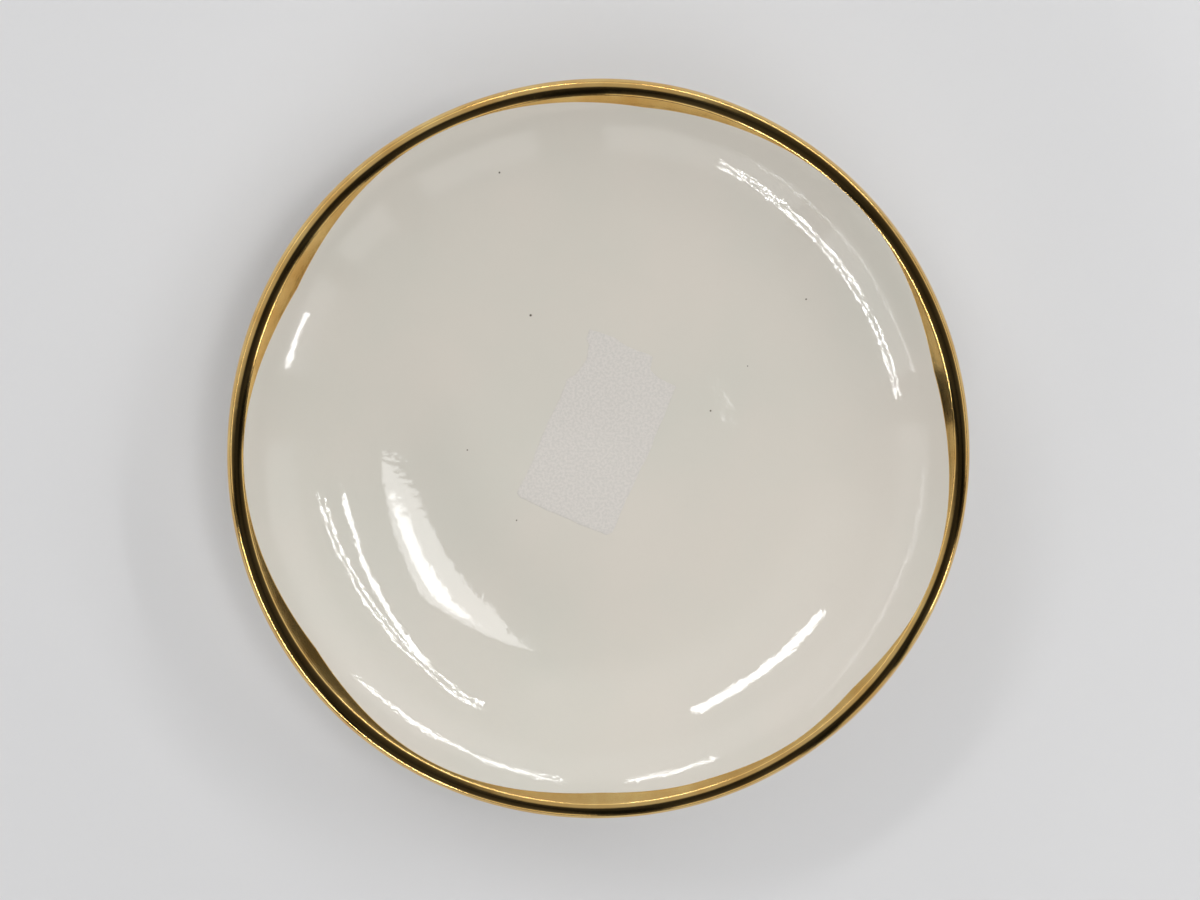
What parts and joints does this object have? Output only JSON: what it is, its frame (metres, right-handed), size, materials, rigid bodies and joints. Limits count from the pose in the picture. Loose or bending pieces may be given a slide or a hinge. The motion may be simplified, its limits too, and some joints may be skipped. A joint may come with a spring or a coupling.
{
  "type": "ring dish",
  "caption": "Small round shallow glazed dish on a foot ring, with a scalloped gold band over its rounded lip, for holding rings.",
  "frame": {"origin": "middle of the foot ring's tread, on the surface the dish stands on", "axes": "+Z up along the dish's axis of revolution; seen from above with +X to the right and +Y up, the dish lies as the picture shows it"},
  "size_m": [0.1, 0.1, 0.0185],
  "materials": {
    "clay": "matte",
    "glaze": "gloss",
    "gold": "polished",
    "adhesive": "satin"
  },
  "bodies": {
    "root": {"clay_body": "clay", "glaze_coat": "glaze", "foot_well_glaze": "glaze", "gold_band": "gold", "label_adhesive": "adhesive"}
  },
  "joints": []
}
